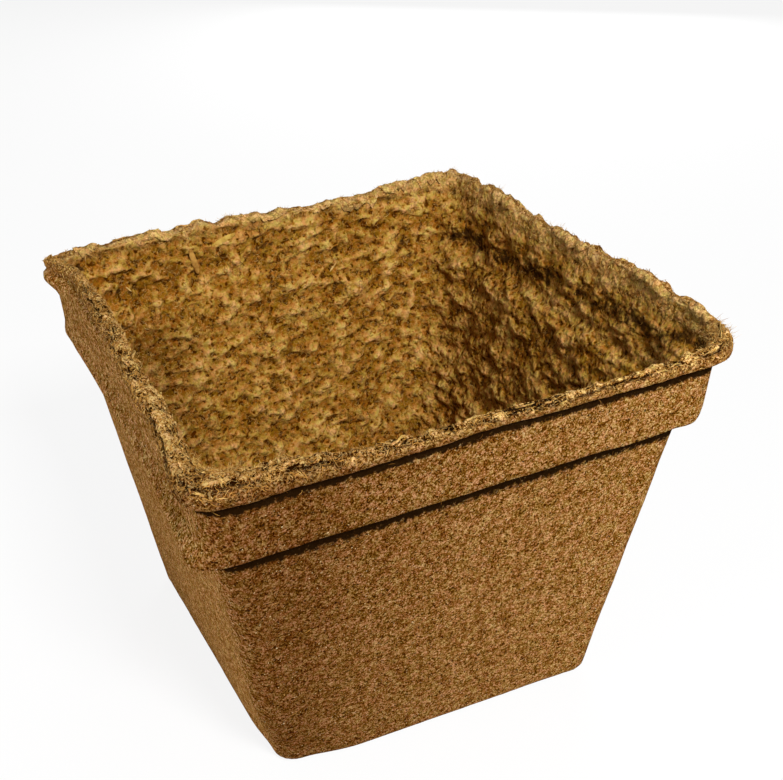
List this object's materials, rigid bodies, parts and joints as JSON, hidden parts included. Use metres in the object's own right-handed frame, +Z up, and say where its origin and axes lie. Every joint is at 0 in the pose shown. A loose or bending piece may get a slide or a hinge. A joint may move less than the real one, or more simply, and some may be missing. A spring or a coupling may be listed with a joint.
{
  "type": "plant pot",
  "caption": "Square plant pot of pressed fibre with tapering walls, a stepped collar and a thick lip, open at the top with drain holes in the floor.",
  "frame": {"origin": "centre of the base, on the face that the pot stands on", "axes": "+Z up through the mouth, -Y out of the wall that faces the camera most in the picture"},
  "size_m": [0.1524, 0.1524, 0.127],
  "materials": {
    "pressed_fibre": "matte, coarse fibre"
  },
  "bodies": {
    "root": {"pot_shell": "pressed_fibre"}
  },
  "joints": []
}
